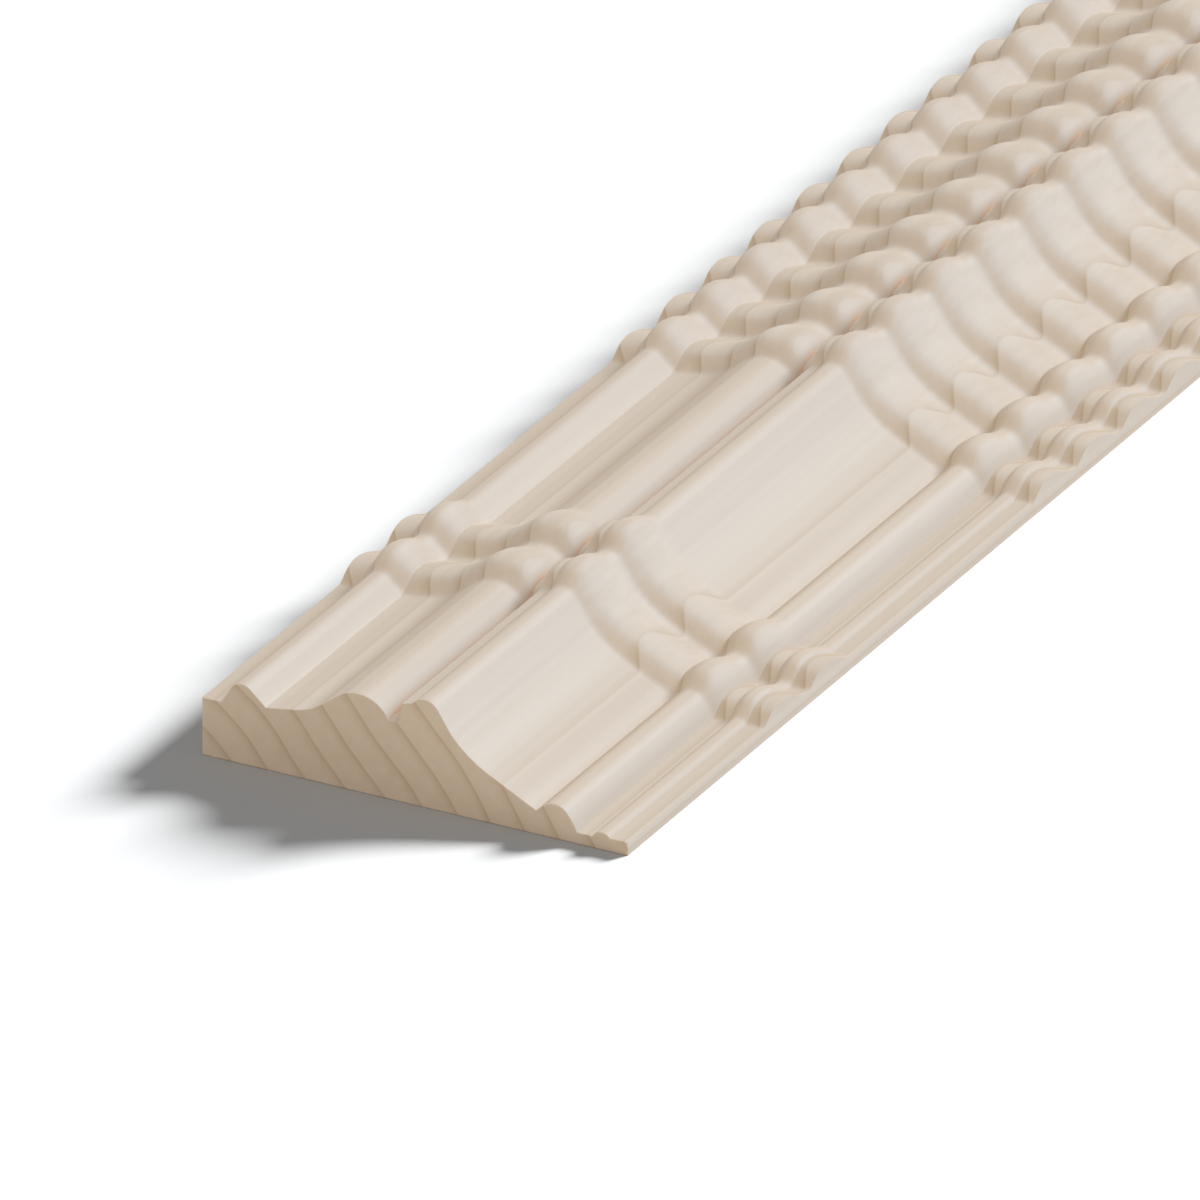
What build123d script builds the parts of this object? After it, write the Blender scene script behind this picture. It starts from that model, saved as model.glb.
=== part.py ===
"""A metre of ripple moulding, worked from one board of pale wood.

The section is drawn once, as a row of members from the thick edge to the thin edge. It is carried along
the moulding on a waved path, so every member rises and falls together, and the back is then planed flat.
X runs across the moulding, Y along it and Z up from the back face, with the origin at the middle of the back.
"""
import os
from math import atan, ceil, degrees, hypot

from build123d import *

# Length and the layout of the ripples along it
LENGTH = 1000.0
END_PLAIN = 60.0            # plain stretch at each end
PAIR_COUNT = 2              # ripples that stand apart beside each end
GAP_PLAIN = 80.0            # plain stretch between those ripples and the long run

# One ripple, from the foot of its steep near side to the foot of the next
RIPPLE_PITCH = 20.0
RIPPLE_HEIGHT = 3.2
FRONT_WIDTH = 4.2           # steep near side
FRONT_HEIGHT = 2.55
CREST_WIDTH = 3.4           # from the steep side to the top of the crest
SHOULDER_WIDTH = 3.2        # from the top to the long far side
SHOULDER_HEIGHT = 2.75
VALLEY_WIDTH = 1.8          # flat between two ripples

# Section of the plain stretch. A width runs across the moulding, a height is above the back face where
# the member ends, and a swell is how far a round stands off its chord.
THICK_EDGE_HEIGHT = 13.2
THICK_FILLET_WIDTH = 4.5

BEAD_FRONT_WIDTH = 2.4
BEAD_FRONT_HEIGHT = 17.1
BEAD_CROWN_WIDTH = 4.6
BEAD_CROWN_HEIGHT = 17.45
BEAD_CROWN_SWELL = 1.1
BEAD_BACK_WIDTH = 3.5
BEAD_BACK_HEIGHT = 14.3

OGEE_FOOT_WIDTH = 6.4
OGEE_FOOT_HEIGHT = 15.35
OGEE_HOLLOW_WIDTH = 6.4
OGEE_HOLLOW_HEIGHT = 17.8
OGEE_HOLLOW_DEPTH = 0.4
OGEE_RISER_WIDTH = 4.2
OGEE_RISER_HEIGHT = 21.0
OGEE_CROWN_WIDTH = 11.85
OGEE_CROWN_SWELL = 2.9

GROOVE_FLOOR_HEIGHT = 18.1
GROOVE_FLOOR_WIDTH = 2.25
GROOVE_WALL_WIDTH = 1.0
GROOVE_WALL_HEIGHT = 22.7

SHELF_WIDTH = 2.5
SHELF_HEIGHT = 23.4
NOSE_STEP_WIDTH = 0.9
NOSE_STEP_HEIGHT = 24.25
NOSE_CROWN_WIDTH = 4.8
NOSE_CROWN_HEIGHT = 23.3
NOSE_CROWN_SWELL = 1.0
NOSE_FALL_WIDTH = 3.3
NOSE_FALL_HEIGHT = 18.2

COVE_WIDTH = 8.8
COVE_HEIGHT = 11.1
COVE_DEPTH = 0.6
COVE_TOE_WIDTH = 11.1
COVE_TOE_HEIGHT = 5.45

LOW_BEAD_FRONT_WIDTH = 1.9
LOW_BEAD_FRONT_HEIGHT = 7.0
LOW_BEAD_CROWN_WIDTH = 5.6
LOW_BEAD_CROWN_HEIGHT = 6.05
LOW_BEAD_CROWN_SWELL = 1.25
LOW_BEAD_BACK_WIDTH = 2.1

LOW_FILLET_WIDTH = 3.6
LOW_FILLET_HEIGHT = 2.6
REED_WIDTH = 4.1
REED_SWELL = 1.15
THIN_FILLET_WIDTH = 4.2
THIN_EDGE_HEIGHT = 3.0

# Each round is worked as narrow flats, because the section is repeated along every slope of every ripple
ROUND_STEP = 30.0           # degrees that one flat may turn from the next
LEAST_FLAT_COUNT = 2

# Members from the thick edge to the thin edge: width, height at the far side, swell of a round
MEMBERS = [
    (THICK_FILLET_WIDTH, THICK_EDGE_HEIGHT, 0),
    (BEAD_FRONT_WIDTH, BEAD_FRONT_HEIGHT, 0),
    (BEAD_CROWN_WIDTH, BEAD_CROWN_HEIGHT, BEAD_CROWN_SWELL),
    (BEAD_BACK_WIDTH, BEAD_BACK_HEIGHT, 0),
    (OGEE_FOOT_WIDTH, OGEE_FOOT_HEIGHT, 0),
    (OGEE_HOLLOW_WIDTH, OGEE_HOLLOW_HEIGHT, -OGEE_HOLLOW_DEPTH),
    (OGEE_RISER_WIDTH, OGEE_RISER_HEIGHT, 0),
    (OGEE_CROWN_WIDTH, GROOVE_FLOOR_HEIGHT, OGEE_CROWN_SWELL),
    (GROOVE_FLOOR_WIDTH, GROOVE_FLOOR_HEIGHT, 0),
    (GROOVE_WALL_WIDTH, GROOVE_WALL_HEIGHT, 0),
    (SHELF_WIDTH, SHELF_HEIGHT, 0),
    (NOSE_STEP_WIDTH, NOSE_STEP_HEIGHT, 0),
    (NOSE_CROWN_WIDTH, NOSE_CROWN_HEIGHT, NOSE_CROWN_SWELL),
    (NOSE_FALL_WIDTH, NOSE_FALL_HEIGHT, 0),
    (COVE_WIDTH, COVE_HEIGHT, -COVE_DEPTH),
    (COVE_TOE_WIDTH, COVE_TOE_HEIGHT, 0),
    (LOW_BEAD_FRONT_WIDTH, LOW_BEAD_FRONT_HEIGHT, 0),
    (LOW_BEAD_CROWN_WIDTH, LOW_BEAD_CROWN_HEIGHT, LOW_BEAD_CROWN_SWELL),
    (LOW_BEAD_BACK_WIDTH, LOW_FILLET_HEIGHT, 0),
    (LOW_FILLET_WIDTH, LOW_FILLET_HEIGHT, 0),
    (REED_WIDTH, THIN_EDGE_HEIGHT, REED_SWELL),
    (THIN_FILLET_WIDTH, THIN_EDGE_HEIGHT, 0),
]
WIDTH = sum(width for width, height, swell in MEMBERS)

# The section starts below the back face, so that its lowest line stays below it on every crest
BACK_ALLOWANCE = 2 * RIPPLE_HEIGHT


def round_points(start, end, swell):
    """Corners of the flats along a round from start to end, without the start."""
    half_chord = hypot(end[0] - start[0], end[1] - start[1]) / 2
    turn = degrees(4 * atan(abs(swell) / half_chord))
    flats = max(LEAST_FLAT_COUNT, ceil(turn / ROUND_STEP))
    arc = SagittaArc(start, end, swell, mode=Mode.PRIVATE)
    return [arc @ (flat / flats) for flat in range(1, flats + 1)]


def section_corners():
    """Corners of the top of the section, from the thick edge to the thin edge."""
    corner = (-WIDTH / 2, THICK_EDGE_HEIGHT)
    corners = [corner]
    for width, height, swell in MEMBERS:
        end = (corner[0] + width, height)
        if swell:
            corners.extend(round_points(corner, end, swell))
        else:
            corners.append(end)
        corner = end
    return corners


def ripple_corners(foot, count):
    """Corners of a row of ripples on the waved path, after the foot of the first."""
    corners = []
    for index in range(count):
        near = foot + index * RIPPLE_PITCH
        crest = near + FRONT_WIDTH + CREST_WIDTH
        corners.append((0, near + FRONT_WIDTH, FRONT_HEIGHT))
        corners.append((0, crest, RIPPLE_HEIGHT))
        corners.append((0, crest + SHOULDER_WIDTH, SHOULDER_HEIGHT))
        corners.append((0, near + RIPPLE_PITCH - VALLEY_WIDTH, 0))
        corners.append((0, near + RIPPLE_PITCH, 0))
    return corners


# Places along the length where the rows of ripples start
pair_length = PAIR_COUNT * RIPPLE_PITCH
run_length = LENGTH - 2 * (END_PLAIN + pair_length + GAP_PLAIN)
run_count = int(run_length / RIPPLE_PITCH)
near_end = -LENGTH / 2
far_end = LENGTH / 2
near_pair = near_end + END_PLAIN
long_run = near_pair + pair_length + GAP_PLAIN
far_pair = far_end - END_PLAIN - pair_length

with BuildPart() as ripple_moulding:
    with BuildLine():
        Polyline(
            (0, near_end, 0),
            (0, near_pair, 0),
            *ripple_corners(near_pair, PAIR_COUNT),
            (0, long_run, 0),
            *ripple_corners(long_run, run_count),
            (0, far_pair, 0),
            *ripple_corners(far_pair, PAIR_COUNT),
            (0, far_end, 0),
        )
    with BuildSketch(Plane.XZ.offset(-near_end)):
        with BuildLine():
            Polyline(
                (-WIDTH / 2, -BACK_ALLOWANCE),
                *section_corners(),
                (WIDTH / 2, -BACK_ALLOWANCE),
                close=True,
            )
        make_face()
    sweep(normal=(0, -1, 0), transition=Transition.RIGHT)
    # Plane the back flat
    split(bisect_by=Plane.XY, keep=Keep.TOP)

ripple_moulding.part.label = "ripple_moulding"
os.makedirs("parts", exist_ok=True)
export_step(ripple_moulding.part, "parts/ripple_moulding.step")
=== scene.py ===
"""The looks of a metre of ripple moulding, modelled around its solid.

The moulding is one piece of pale wood. Its section is drawn corner by corner, extruded along one ripple,
and that ripple is copied in rows between the plain stretches. Sizes are in metres, from millimetres.
"""
from math import atan, ceil, cos, pi, radians, sin

import bpy
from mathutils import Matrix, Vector


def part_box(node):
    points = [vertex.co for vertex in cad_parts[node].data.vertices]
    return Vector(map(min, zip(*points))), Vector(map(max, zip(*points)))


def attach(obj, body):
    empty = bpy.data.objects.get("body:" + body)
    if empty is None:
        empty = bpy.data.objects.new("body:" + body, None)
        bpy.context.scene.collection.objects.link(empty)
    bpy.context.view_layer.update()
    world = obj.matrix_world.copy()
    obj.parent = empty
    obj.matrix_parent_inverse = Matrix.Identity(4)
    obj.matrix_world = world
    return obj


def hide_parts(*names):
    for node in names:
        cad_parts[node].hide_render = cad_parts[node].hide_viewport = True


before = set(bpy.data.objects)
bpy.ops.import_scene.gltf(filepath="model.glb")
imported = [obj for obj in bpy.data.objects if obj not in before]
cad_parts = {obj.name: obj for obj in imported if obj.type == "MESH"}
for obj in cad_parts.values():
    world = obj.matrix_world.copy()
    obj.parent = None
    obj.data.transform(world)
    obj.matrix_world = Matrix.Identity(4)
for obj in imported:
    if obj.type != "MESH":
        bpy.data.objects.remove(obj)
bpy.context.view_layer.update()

MM = 0.001
NODE = "ripple_moulding"
LOW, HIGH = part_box(NODE)
HAIR = 0.01 * MM            # too small to see: picks and merges corners, and keeps the floor clear

# Layout from each end: a plain stretch, a pair of ripples, a plain gap, and the long run between them
END_PLAIN = 60 * MM
GAP_PLAIN = 80 * MM
PAIR_COUNT = 2
RIPPLE_PITCH = 20 * MM
RIPPLE_LEAD = 0.5 * MM      # the rounded foot of a ripple starts this far before the solid's sharp one

# Members of the section from the thick edge to the thin edge, in millimetres:
# width, height above the back where the member ends, and how far a round stands off its chord
THICK_EDGE_HEIGHT = 13.2
MEMBERS = [
    (4.5, THICK_EDGE_HEIGHT, 0),    # fillet at the thick edge
    (2.4, 17.1, 0),         # bead, rising side
    (4.6, 17.45, 1.1),      # bead, crown
    (3.5, 14.3, 0),         # bead, falling side
    (6.4, 15.35, 0),        # ogee, foot
    (6.4, 17.8, -0.4),      # ogee, hollow
    (4.2, 21.0, 0),         # ogee, riser
    (11.85, 18.1, 2.9),     # ogee, crown
    (2.25, 18.1, 0),        # groove, floor
    (1.0, 22.7, 0),         # groove, wall
    (2.5, 23.4, 0),         # shelf
    (0.9, 24.25, 0),        # nose, step
    (4.8, 23.3, 1.0),       # nose, crown
    (3.3, 18.2, 0),         # nose, fall
    (8.8, 11.1, -0.6),      # cove
    (11.1, 5.45, 0),        # cove, toe
    (1.9, 7.0, 0),          # low bead, rising side
    (5.2, 6.6, 1.05),       # low bead, crown
    (2.5, 2.6, 0.2),        # low bead, falling side
    (3.6, 2.6, 0),          # low fillet
    (4.1, 3.0, 1.15),       # reed
    (4.2, 3.0, 0),          # fillet at the thin edge
]
ROUND_STEP = radians(8)     # most that one flat of a round turns from the next
LEAST_FLATS = 2
BASE_DEPTH = 10 * MM        # the section is drawn this far below the back, which is then pressed flat

# One ripple, in millimetres from the foot of its steep near side: distance, height, slope there,
# and the number of steps up to it from the place before
RIPPLE = [
    (0.0, 0.0, 0.1, 0),
    (1.8, 0.84, 0.78, 5),
    (3.5, 2.05, 0.66, 3),
    (7.9, 3.2, 0.0, 5),
    (15.0, 1.47, -0.37, 5),
    (19.3, 0.0, -0.1, 4),
    (20.0, 0.0, 0.0, 1),
]

ARRIS = 0.12 * MM           # sawn edges of both ends, just eased
SMOOTH_ANGLE = radians(14)  # edges that turn less than this are shaded round

# Growth rings: the heart of the tree lies low beyond the thick edge, and the rings run along the length
PITH = Vector((-187 * MM, 0, -134 * MM))
RING_SPACING = 6.98 * MM
RING_SHIFT = 0.785          # part of a ring by which the pattern is moved inwards
RING_BEND = 0.5 * MM        # how far a ring swings out and in along its arc
RING_BEND_LENGTH = 33.5 * MM
RING_BEND_START = -0.2      # radians
RING_WANDER = 0.8 * MM      # and how far it wanders besides
RING_WANDER_SIZE = 14 * MM
RING_WANDER_DETAIL = 2
GRAIN_LENGTH = 600 * MM     # the rings stay alike over this length
SECTION_PLANE = (1, 0, 1)   # keeps the part of a place or direction that lies in the section

# Late wood of a ring: place from its inner side to its outer side, and depth of colour
LATE_WOOD = ((0.62, 0.0), (0.8, 0.28), (0.91, 0.6), (0.955, 1.0), (1.0, 0.0))
LATE_ALONG_GRAIN = 0.5      # its depth along the grain
LATE_FULL_CUT = 0.4         # share of end grain at which it is full
LATE_FADE = (0.88, 0.98)    # it fades between these, as a surface comes to lie flat to the rings
LATE_LEAST = 0.15           # to this part of its depth

# Other marks of the wood: width across the grain, and length along it
STREAK_SIZE = (1.8 * MM, 220 * MM)
BAND_SIZE = (5 * MM, 500 * MM)
FIBRE_SIZE = (0.7 * MM, 50 * MM)
MOTTLE_SIZE = (2.4 * MM, 2.4 * MM)
MARK_DETAIL = 4
STREAK_PART = 0.6           # strength of a streak beside a band
STREAK_RANGE = (0.6, 1.0)   # sum of both from which a mark shows, and at which it is full
MOTTLE_RANGE = (0.3, 0.7)   # values of the mottling that are spread out
MOTTLE_DEPTH = (0.25, 0.75)     # over these depths
FIBRE_DEPTH = 0.02 * MM

# Share of end grain, by how far a surface faces along the length
END_GRAIN = ((0.2, 0.0), (0.35, 0.15), (0.5, 0.58), (0.7, 0.7), (0.95, 1.0))

# Colours along the grain, from a surface cut straight through the rings to one that lies flat to them. The
# faces that lie flat to the rings are those turned towards the key lamp, so their paler, greyer colour is a
# painted sheen, and the browner colour of faces turned away is painted warm shade
SHEEN_AND_SHADE_COLOURS = ((0.0, "c9b9a6"), (0.5, "cabfb1"), (0.75, "c7bbad"), (0.9, "c9c1b7"), (1.0, "c9c2ba"))

# Colour of a sawn end, tints over late wood and over marks, and a warm colour painted in crevices for the
# light that the wood throws back between its surfaces
END_COLOUR = "c8b49c"
LATE_TINT = "e8dfd2"
MARK_TINT = "f6f3f0"
CREVICE_BOUNCE_COLOUR = "dca775"
CREVICE_REACH = 5 * MM      # how near another surface has to be for the painted bounce light to show between them
CREVICE_RANGE = (0.57, 0.2)     # openness below which its colour starts, and at which it is full
CREVICE_SAMPLES = 8

SATIN = {"Roughness": 0.58, "Specular IOR Level": 0.25, "IOR": 1.45}
MATT = {"Roughness": 1.0, "Specular IOR Level": 0.0}

# Camera: the angle of the photograph, and the point of the back plane at the middle of the picture
VIEW_AZIMUTH = radians(28.11)
VIEW_ELEVATION = radians(26.23)
VIEW_SPAN = 250.3 * MM      # width of the picture at that point
VIEW_CENTRE = Vector((LOW.x + 38.6 * MM, LOW.y + 102.8 * MM, LOW.z))
LENS = 1600                 # millimetres, as the sensor's width
SENSOR = 36
FARTHEST = 100              # metres that the camera sees

FLOOR_SIZE = 8              # metres
FLOOR_COLOUR = "d2d3d4"

# Lamps: direction towards the lamp, strength, spread in degrees, and what it lights.
# The key on the floor follows the shadow in the photograph, and the key on the moulding is a little
# higher, so that it reaches into the groove.
LAMPS = {
    "key_moulding": ((0.93, 1.57, 1.25), 0.575, 18, "moulding"),
    "key_floor": ((0.94, 1.66, 1), 2.7, 18, "floor"),
    "fill_top": ((0, 0, 1), 0.37, 120, "moulding"),
    "fill_front": ((0.3, -1, 0.35), 0.35, 90, "moulding"),
}
SKY_COLOUR = "ffffff"
SKY_LIGHT = 0.33            # strength of the white surround as light
SKY_SEEN = 1.0              # and where it is seen


def linear(code):
    """An sRGB hex colour as linear red, green, blue and alpha."""
    channels = [int(code[place:place + 2], 16) / 255 for place in (0, 2, 4)]
    bent = [c / 12.92 if c <= 0.04045 else ((c + 0.055) / 1.055) ** 2.4 for c in channels]
    return (*bent, 1.0)


def add_node(material, kind, values=None, links=None, stops=None, **settings):
    """Adds a node with its settings, the values of its sockets, the outputs that feed them and its ramp."""
    made = material.node_tree.nodes.new(kind)
    for name, setting in settings.items():
        setattr(made, name, setting)
    for socket, value in (values or {}).items():
        made.inputs[socket].default_value = value
    for socket, output in (links or {}).items():
        material.node_tree.links.new(output, made.inputs[socket])
    if stops:
        first, *between, last = stops
        ramp = made.color_ramp.elements
        for element, (place, colour) in zip(ramp, (first, last)):
            element.position = place
            element.color = colour
        for place, colour in between:
            ramp.new(place).color = colour
    return made


def round_points(start, end, swell):
    """Points along a round from start to end that stands off its chord by swell, without the start."""
    chord = end - start
    normal = Vector((-chord.y, chord.x)).normalized()
    half_turn = 2 * atan(2 * swell / chord.length)
    radius = chord.length / (2 * sin(half_turn))
    count = max(LEAST_FLATS, ceil(abs(2 * half_turn) / ROUND_STEP))
    points = []
    for step in range(1, count + 1):
        angle = half_turn * (2 * step / count - 1)
        along = 0.5 + radius * sin(angle) / chord.length
        points.append(start + along * chord + radius * (cos(angle) - cos(half_turn)) * normal)
    return points


def section_points():
    """The moulded face of the section, from the thick edge to the thin edge."""
    corner = Vector((LOW.x, THICK_EDGE_HEIGHT * MM))
    points = [corner]
    for width, height, swell in MEMBERS:
        end = Vector((corner.x + width * MM, height * MM))
        if swell:
            points.extend(round_points(corner, end, swell * MM))
        else:
            points.append(end)
        corner = end
    return points


def ripple_points():
    """Places along one ripple, as distance from its foot and height, smooth through the places given."""
    points = [Vector((0, 0))]
    for (y0, h0, slope0, _), (y1, h1, slope1, count) in zip(RIPPLE, RIPPLE[1:]):
        span = y1 - y0
        for step in range(1, count + 1):
            t = step / count
            rise = h0 + (h1 - h0) * t * t * (3 - 2 * t)
            lean = span * t * (1 - t) * (slope0 * (1 - t) - slope1 * t)
            points.append(Vector((y0 + span * t, rise + lean)) * MM)
    return points


def draw_section():
    """The closed section, drawn across the origin from a plane shrunk to one corner."""
    bpy.ops.object.select_all(action="DESELECT")
    bpy.ops.mesh.primitive_plane_add(size=MM)
    section = bpy.context.object
    section.name = "section"
    corners = [Vector((point.x, 0, point.y)) for point in section_points()]
    base = LOW.z - BASE_DEPTH
    outline = [Vector((LOW.x, 0, base)), *corners, Vector((HIGH.x, 0, base)), Vector((LOW.x, 0, base))]
    bpy.ops.object.mode_set(mode="EDIT")
    bpy.ops.mesh.select_all(action="SELECT")
    bpy.ops.mesh.merge(type="CENTER")
    bpy.ops.transform.translate(value=outline[0])
    for here, there in zip(outline, outline[1:]):
        bpy.ops.mesh.extrude_vertices_move(TRANSFORM_OT_translate={"value": there - here})
    bpy.ops.mesh.select_all(action="SELECT")
    bpy.ops.mesh.remove_doubles(threshold=HAIR)
    bpy.ops.object.mode_set(mode="OBJECT")
    return section


def copy_piece(piece, name):
    """A copy of a piece with its own mesh, picked alone."""
    bpy.ops.object.select_all(action="DESELECT")
    piece.select_set(True)
    bpy.context.view_layer.objects.active = piece
    bpy.ops.object.duplicate()
    copy = bpy.context.object
    copy.name = name
    return copy


def stretch(section, name, start, steps):
    """A stretch of the moulding: the section moved to its start and extruded by lengths and rises."""
    piece = copy_piece(section, name)
    bpy.ops.object.mode_set(mode="EDIT")
    bpy.ops.mesh.select_mode(type="EDGE")
    bpy.ops.mesh.select_all(action="SELECT")
    bpy.ops.transform.translate(value=(0, start, 0))
    for length, rise in steps:
        bpy.ops.mesh.extrude_edges_move(TRANSFORM_OT_translate={"value": (0, length, rise)})
    bpy.ops.object.mode_set(mode="OBJECT")
    return piece


def ripple_row(ripple, name, start, count):
    """A row of copies of the first ripple, moved to its start."""
    row = copy_piece(ripple, name)
    bpy.ops.object.mode_set(mode="EDIT")
    bpy.ops.mesh.select_all(action="SELECT")
    bpy.ops.transform.translate(value=(0, start, 0))
    bpy.ops.object.mode_set(mode="OBJECT")
    array = row.modifiers.new("row", "ARRAY")
    array.count = count
    array.use_relative_offset = False
    array.use_constant_offset = True
    array.constant_offset_displace = (0, RIPPLE_PITCH, 0)
    bpy.ops.object.modifier_apply(modifier=array.name)
    return row


def lay_stretches():
    """The rows of ripples and the plain stretches, from the near end to the far end."""
    section = draw_section()
    places = ripple_points()
    steps = [after - before for before, after in zip(places, places[1:])]
    ripple = stretch(section, "ripple", 0, steps)

    pair_length = PAIR_COUNT * RIPPLE_PITCH
    run_length = HIGH.y - LOW.y - 2 * (END_PLAIN + pair_length + GAP_PLAIN)
    run_count = round(run_length / RIPPLE_PITCH)
    near_plain = LOW.y + ARRIS
    near_pair = LOW.y + END_PLAIN - RIPPLE_LEAD
    near_gap = near_pair + pair_length
    long_run = near_gap + GAP_PLAIN
    far_gap = long_run + run_length
    far_pair = far_gap + GAP_PLAIN
    far_plain = far_pair + pair_length
    far_end = HIGH.y - ARRIS
    stretches = [
        stretch(section, "near_plain", near_plain, [(near_pair - near_plain, 0)]),
        ripple_row(ripple, "near_pair", near_pair, PAIR_COUNT),
        stretch(section, "near_gap", near_gap, [(GAP_PLAIN, 0)]),
        ripple_row(ripple, "long_run", long_run, run_count),
        stretch(section, "far_gap", far_gap, [(GAP_PLAIN, 0)]),
        ripple_row(ripple, "far_pair", far_pair, PAIR_COUNT),
        stretch(section, "far_plain", far_plain, [(far_end - far_plain, 0)]),
    ]
    bpy.data.objects.remove(section)
    bpy.data.objects.remove(ripple)
    return stretches


def join_stretches(stretches):
    """All stretches as one mesh, with their shared corners merged."""
    bpy.ops.object.select_all(action="DESELECT")
    for piece in stretches:
        piece.select_set(True)
    moulding = stretches[0]
    bpy.context.view_layer.objects.active = moulding
    bpy.ops.object.join()
    moulding.name = "moulding"
    moulding.data.name = "moulding"
    bpy.ops.object.mode_set(mode="EDIT")
    bpy.ops.mesh.select_all(action="SELECT")
    bpy.ops.mesh.remove_doubles(threshold=HAIR)
    return moulding


def pick_corners(piece, wanted):
    """Picks, in edit mode, the corners of a piece whose place is wanted."""
    bpy.ops.object.mode_set(mode="EDIT")
    bpy.ops.mesh.select_mode(type="VERT")
    bpy.ops.mesh.select_all(action="DESELECT")
    bpy.ops.object.mode_set(mode="OBJECT")
    for vertex in piece.data.vertices:
        vertex.select = wanted(vertex.co)
    bpy.ops.object.mode_set(mode="EDIT")


def model_moulding():
    """The whole moulding as one closed mesh."""
    moulding = join_stretches(lay_stretches())

    # Press the back flat
    pick_corners(moulding, lambda place: place.z < LOW.z)
    bpy.ops.transform.resize(value=(1, 1, 0), center_override=(0, 0, LOW.z))

    # Close both ends, then ease their sawn edges
    ends = (LOW.y + ARRIS, HIGH.y - ARRIS)
    for end in ends:
        pick_corners(moulding, lambda place: abs(place.y - end) < HAIR)
        bpy.ops.mesh.edge_face_add()
    bpy.ops.mesh.select_all(action="SELECT")
    bpy.ops.mesh.normals_make_consistent(inside=False)
    for end in ends:
        pick_corners(moulding, lambda place: abs(place.y - end) < HAIR)
        bpy.ops.mesh.inset(thickness=ARRIS, depth=ARRIS)
    bpy.ops.object.mode_set(mode="OBJECT")
    bpy.ops.object.shade_smooth_by_angle(angle=SMOOTH_ANGLE)
    return moulding


def surface_cut(wood, in_section):
    """How a surface is cut: how nearly it lies flat to the rings, and its share of end grain."""
    normal = add_node(wood, "ShaderNodeNewGeometry").outputs["Normal"]
    outwards = add_node(wood, "ShaderNodeVectorMath", links={0: in_section}, operation="NORMALIZE")
    section_normal = add_node(
        wood, "ShaderNodeVectorMath", {1: SECTION_PLANE}, {0: normal}, operation="MULTIPLY")
    section_facing = add_node(
        wood, "ShaderNodeVectorMath", links={0: section_normal.outputs[0]}, operation="NORMALIZE")
    lean = add_node(
        wood, "ShaderNodeVectorMath", links={0: section_facing.outputs[0], 1: outwards.outputs[0]},
        operation="DOT_PRODUCT")
    facing = add_node(wood, "ShaderNodeSeparateXYZ", links={"Vector": normal})
    along = add_node(wood, "ShaderNodeMath", links={0: facing.outputs["Y"]}, operation="ABSOLUTE")
    end_cut = add_node(
        wood, "ShaderNodeValToRGB", links={"Fac": along.outputs[0]},
        stops=[(place, (share, share, share, 1)) for place, share in END_GRAIN])
    return lean.outputs["Value"], end_cut.outputs["Color"]


def growth_rings(wood, coords, in_section, lean, end_cut):
    """Depth of the growth rings, each darkening slowly to a thin late line."""
    radius = add_node(wood, "ShaderNodeVectorMath", links={0: in_section}, operation="LENGTH")
    place = add_node(wood, "ShaderNodeSeparateXYZ", links={"Vector": in_section})
    angle = add_node(
        wood, "ShaderNodeMath", links={0: place.outputs["Z"], 1: place.outputs["X"]}, operation="ARCTAN2")
    bend_turns = PITH.length * 2 * pi / RING_BEND_LENGTH
    bend_place = add_node(
        wood, "ShaderNodeMath", {1: bend_turns, 2: RING_BEND_START}, {0: angle.outputs[0]},
        operation="MULTIPLY_ADD")
    bend = add_node(wood, "ShaderNodeMath", links={0: bend_place.outputs[0]}, operation="SINE")
    bent = add_node(
        wood, "ShaderNodeMath", {1: -RING_BEND}, {0: bend.outputs[0], 2: radius.outputs["Value"]},
        operation="MULTIPLY_ADD")
    wander_map = add_node(
        wood, "ShaderNodeMapping",
        {"Scale": (1 / RING_WANDER_SIZE, 1 / GRAIN_LENGTH, 1 / RING_WANDER_SIZE)}, {"Vector": coords})
    wander = add_node(
        wood, "ShaderNodeTexNoise", {"Scale": 1, "Detail": RING_WANDER_DETAIL},
        {"Vector": wander_map.outputs[0]})
    wandered = add_node(
        wood, "ShaderNodeMath", {1: RING_WANDER}, {0: wander.outputs[0], 2: bent.outputs[0]},
        operation="MULTIPLY_ADD")
    turns = add_node(
        wood, "ShaderNodeMath", {1: 1 / RING_SPACING, 2: RING_SHIFT}, {0: wandered.outputs[0]},
        operation="MULTIPLY_ADD")
    in_ring = add_node(wood, "ShaderNodeMath", links={0: turns.outputs[0]}, operation="FRACT")
    late = add_node(
        wood, "ShaderNodeValToRGB", links={"Fac": in_ring.outputs[0]},
        stops=[(part, (depth, depth, depth, 1)) for part, depth in LATE_WOOD])
    share = add_node(
        wood, "ShaderNodeMapRange", {"From Max": LATE_FULL_CUT, "To Min": LATE_ALONG_GRAIN},
        {"Value": end_cut})
    fade = add_node(
        wood, "ShaderNodeMapRange",
        {"From Min": LATE_FADE[0], "From Max": LATE_FADE[1], "To Min": 1.0, "To Max": LATE_LEAST},
        {"Value": lean})
    full_depth = add_node(
        wood, "ShaderNodeMath", links={0: share.outputs[0], 1: fade.outputs[0]}, operation="MULTIPLY")
    ring = add_node(
        wood, "ShaderNodeMath", links={0: late.outputs["Color"], 1: full_depth.outputs[0]},
        operation="MULTIPLY")
    return ring.outputs[0]


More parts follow.
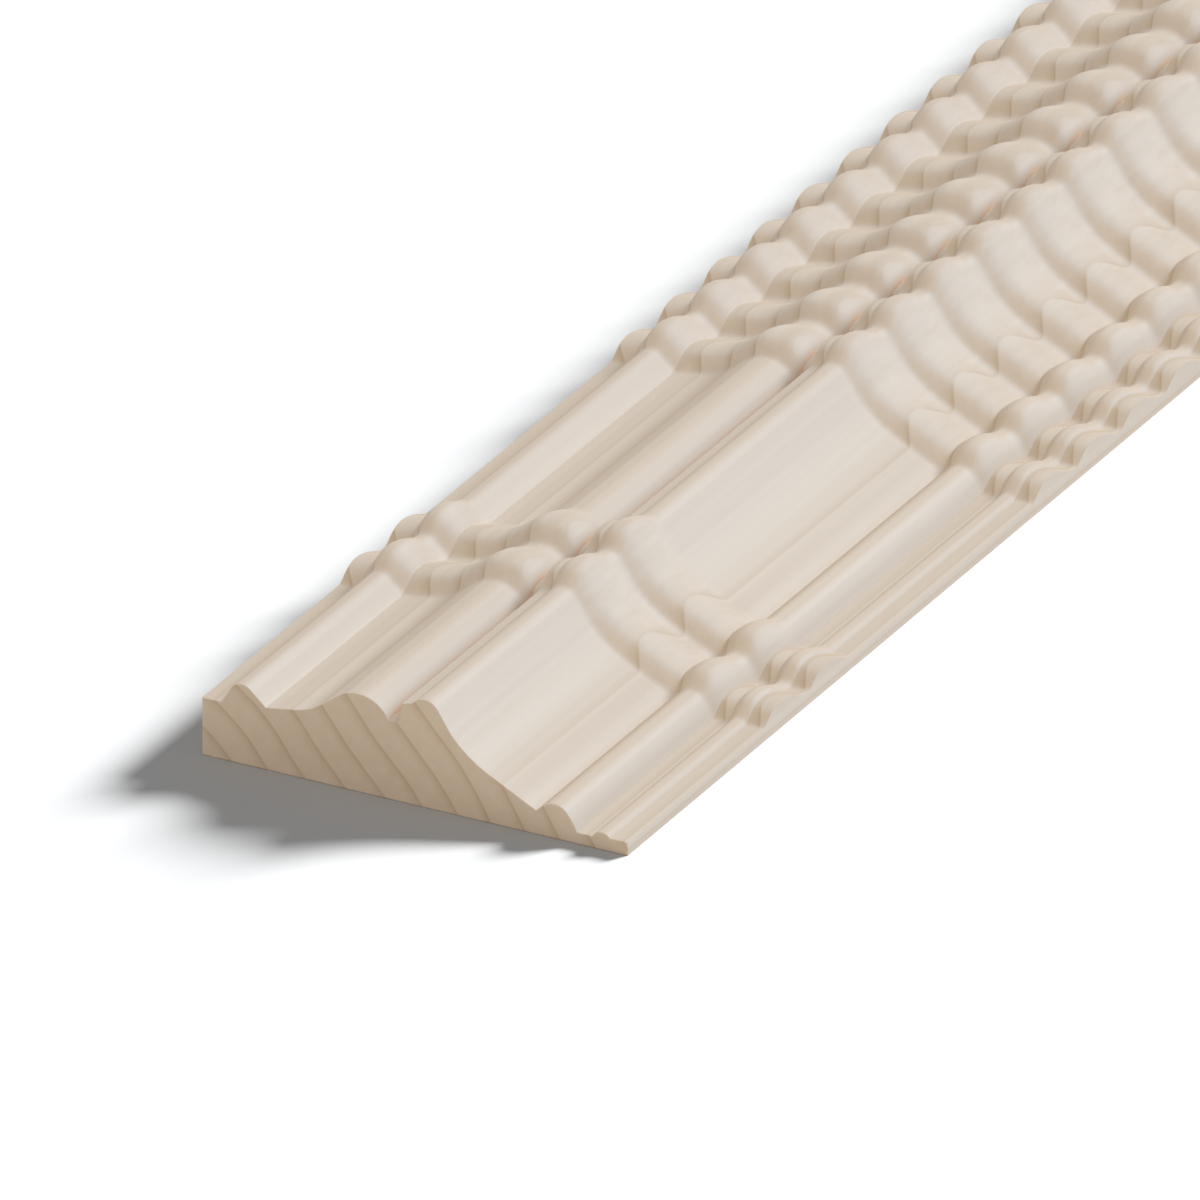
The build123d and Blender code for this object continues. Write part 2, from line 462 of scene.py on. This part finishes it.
def grain_marks(wood, coords, end_cut):
    """Depth of the streaks along the grain and of the mottling where it is cut across, and the fibres."""
    sizes = {"streak": STREAK_SIZE, "band": BAND_SIZE, "fibre": FIBRE_SIZE, "mottle": MOTTLE_SIZE}
    marks = {}
    for name, (width, length) in sizes.items():
        mark_map = add_node(
            wood, "ShaderNodeMapping", {"Scale": (1 / width, 1 / length, 1 / width)}, {"Vector": coords})
        noise = add_node(
            wood, "ShaderNodeTexNoise", {"Scale": 1, "Detail": MARK_DETAIL},
            {"Vector": mark_map.outputs[0]})
        marks[name] = noise.outputs[0]
    streaks = add_node(
        wood, "ShaderNodeMath", {1: STREAK_PART}, {0: marks["streak"], 2: marks["band"]},
        operation="MULTIPLY_ADD")
    streak_depth = add_node(
        wood, "ShaderNodeMapRange", {"From Min": STREAK_RANGE[0], "From Max": STREAK_RANGE[1]},
        {"Value": streaks.outputs[0]})
    mottle_depth = add_node(
        wood, "ShaderNodeMapRange",
        {"From Min": MOTTLE_RANGE[0], "From Max": MOTTLE_RANGE[1],
         "To Min": MOTTLE_DEPTH[0], "To Max": MOTTLE_DEPTH[1]},
        {"Value": marks["mottle"]})
    mark = add_node(
        wood, "ShaderNodeMix",
        links={"Factor": end_cut, "A": streak_depth.outputs[0], "B": mottle_depth.outputs[0]})
    return mark.outputs["Result"], marks["fibre"]


def planed_limewood():
    """Limewood, planed and scraped under a thin satin finish: a pale, close-grained wood.

    Seen along the grain it is nearly plain, with faint long streaks. It is painted palest and greyest
    where the surface lies flat to the growth rings, since those faces turn towards the key lamp: a painted
    sheen; and it is painted browner where the surface turns away: painted warm shade. Where the grain is
    cut across, at the sawn ends and on the steep sides of the ripples, it is browner and mottled, and the
    rings show as thin lines. The lines fade where a surface lies flat to them. In the crevices a warm
    colour is painted for the light that the wood throws back between its surfaces.
    """
    wood = bpy.data.materials.new("planed_limewood")
    wood.use_nodes = True
    shader = wood.node_tree.nodes["Principled BSDF"]
    coords = add_node(wood, "ShaderNodeTexCoord").outputs["Object"]
    from_pith = add_node(wood, "ShaderNodeVectorMath", {1: PITH}, {0: coords}, operation="SUBTRACT")
    section_place = add_node(
        wood, "ShaderNodeVectorMath", {1: SECTION_PLANE}, {0: from_pith.outputs[0]}, operation="MULTIPLY")
    in_section = section_place.outputs[0]
    lean, end_cut = surface_cut(wood, in_section)
    ring = growth_rings(wood, coords, in_section, lean, end_cut)
    mark, fibre = grain_marks(wood, coords, end_cut)

    # Colour along the grain, with its painted sheen and shade, and at a sawn end, then the late lines, the
    # marks and the painted bounce light in the crevices
    painted_sheen_and_shade = add_node(
        wood, "ShaderNodeValToRGB", links={"Fac": lean},
        stops=[(part, linear(code)) for part, code in SHEEN_AND_SHADE_COLOURS])
    wood_with_painted_light = add_node(
        wood, "ShaderNodeMix", {"B": linear(END_COLOUR)},
        {"Factor": end_cut, "A": painted_sheen_and_shade.outputs["Color"]}, data_type="RGBA")
    ringed = add_node(
        wood, "ShaderNodeMix", {"B": linear(LATE_TINT)},
        {"Factor": ring, "A": wood_with_painted_light.outputs["Result"]}, data_type="RGBA", blend_type="MULTIPLY")
    marked = add_node(
        wood, "ShaderNodeMix", {"B": linear(MARK_TINT)},
        {"Factor": mark, "A": ringed.outputs["Result"]}, data_type="RGBA", blend_type="MULTIPLY")
    # Painted bounce light: where other surfaces stand near, a warm colour is mixed in for the light that
    # the wood throws back between them
    openness = add_node(
        wood, "ShaderNodeAmbientOcclusion", {"Distance": CREVICE_REACH},
        samples=CREVICE_SAMPLES, only_local=True)
    crevice_bounce = add_node(
        wood, "ShaderNodeMapRange", {"From Min": CREVICE_RANGE[0], "From Max": CREVICE_RANGE[1]},
        {"Value": openness.outputs["AO"]})
    colour = add_node(
        wood, "ShaderNodeMix", {"B": linear(CREVICE_BOUNCE_COLOUR)},
        {"Factor": crevice_bounce.outputs[0], "A": marked.outputs["Result"]}, data_type="RGBA")
    wood.node_tree.links.new(colour.outputs["Result"], shader.inputs["Base Color"])

    # Satin finish over fine fibres, drawn wider than real ones so that they show
    fibres = add_node(
        wood, "ShaderNodeBump", {"Strength": 1.0, "Distance": FIBRE_DEPTH}, {"Height": fibre})
    wood.node_tree.links.new(fibres.outputs["Normal"], shader.inputs["Normal"])
    for socket, value in SATIN.items():
        shader.inputs[socket].default_value = value
    return wood


def pale_floor():
    """A plain white floor that keeps the shadow of the moulding."""
    bpy.ops.object.select_all(action="DESELECT")
    bpy.ops.mesh.primitive_plane_add(size=FLOOR_SIZE, location=(0, 0, LOW.z - HAIR))
    floor = bpy.context.object
    floor.name = "floor"
    white = bpy.data.materials.new("matt_white_floor")
    white.use_nodes = True
    shader = white.node_tree.nodes["Principled BSDF"]
    shader.inputs["Base Color"].default_value = linear(FLOOR_COLOUR)
    for socket, value in MATT.items():
        shader.inputs[socket].default_value = value
    floor.data.materials.append(white)
    return floor


def lit_group(name, piece):
    """A collection that names what a lamp lights."""
    group = bpy.data.collections.new(name)
    group.objects.link(piece)
    return group


def soft_light(name, direction, strength, spread, lit):
    """A wide, even light on one collection. At strength 1 it shows a white face turned to it as white."""
    lamp = bpy.data.lights.new(name, "SUN")
    lamp.energy = strength * pi
    lamp.angle = radians(spread)
    lamp_object = bpy.data.objects.new(name, lamp)
    lamp_object.rotation_euler = Vector(direction).to_track_quat("Z", "Y").to_euler()
    lamp_object.light_linking.receiver_collection = lit
    bpy.context.scene.collection.objects.link(lamp_object)


def studio(moulding, floor):
    """Soft light from the back right, fill from all round, and white behind.

    The fill is kept off the floor, so that the shadow there stays as deep as under a single lamp.
    """
    lit = {"moulding": lit_group("lit_moulding", moulding), "floor": lit_group("lit_floor", floor)}
    for name, (direction, strength, spread, piece) in LAMPS.items():
        soft_light(name, direction, strength, spread, lit[piece])
    world = bpy.data.worlds.new("white_studio")
    bpy.context.scene.world = world
    world.use_nodes = True
    sky = world.node_tree.nodes["Background"]
    path = add_node(world, "ShaderNodeLightPath").outputs
    seen = add_node(
        world, "ShaderNodeMath", links={0: path["Is Camera Ray"], 1: path["Is Glossy Ray"]},
        operation="MAXIMUM")
    seen_all = add_node(
        world, "ShaderNodeMath", links={0: seen.outputs[0], 1: path["Is Transmission Ray"]},
        operation="MAXIMUM")
    strength = add_node(
        world, "ShaderNodeMapRange", {"To Min": SKY_LIGHT, "To Max": SKY_SEEN},
        {"Value": seen_all.outputs[0]})
    sky.inputs["Color"].default_value = linear(SKY_COLOUR)
    world.node_tree.links.new(strength.outputs[0], sky.inputs["Strength"])


def photograph_camera():
    """A long lens at the angle of the photograph, which shows the moulding nearly without perspective."""
    camera = bpy.data.cameras.new("camera")
    camera.lens = LENS
    camera.sensor_width = SENSOR
    camera.clip_end = FARTHEST
    camera_object = bpy.data.objects.new("camera", camera)
    back = Vector((
        sin(VIEW_AZIMUTH) * cos(VIEW_ELEVATION),
        -cos(VIEW_AZIMUTH) * cos(VIEW_ELEVATION),
        sin(VIEW_ELEVATION),
    ))
    camera_object.location = VIEW_CENTRE + back * VIEW_SPAN * LENS / SENSOR
    camera_object.rotation_euler = back.to_track_quat("Z", "Y").to_euler()
    bpy.context.scene.collection.objects.link(camera_object)
    bpy.context.scene.camera = camera_object


photograph_camera()
moulding = model_moulding()
moulding.data.materials.append(planed_limewood())
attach(moulding, "root")
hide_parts(NODE)
studio(moulding, pale_floor())
bpy.context.scene.view_settings.view_transform = "Standard"
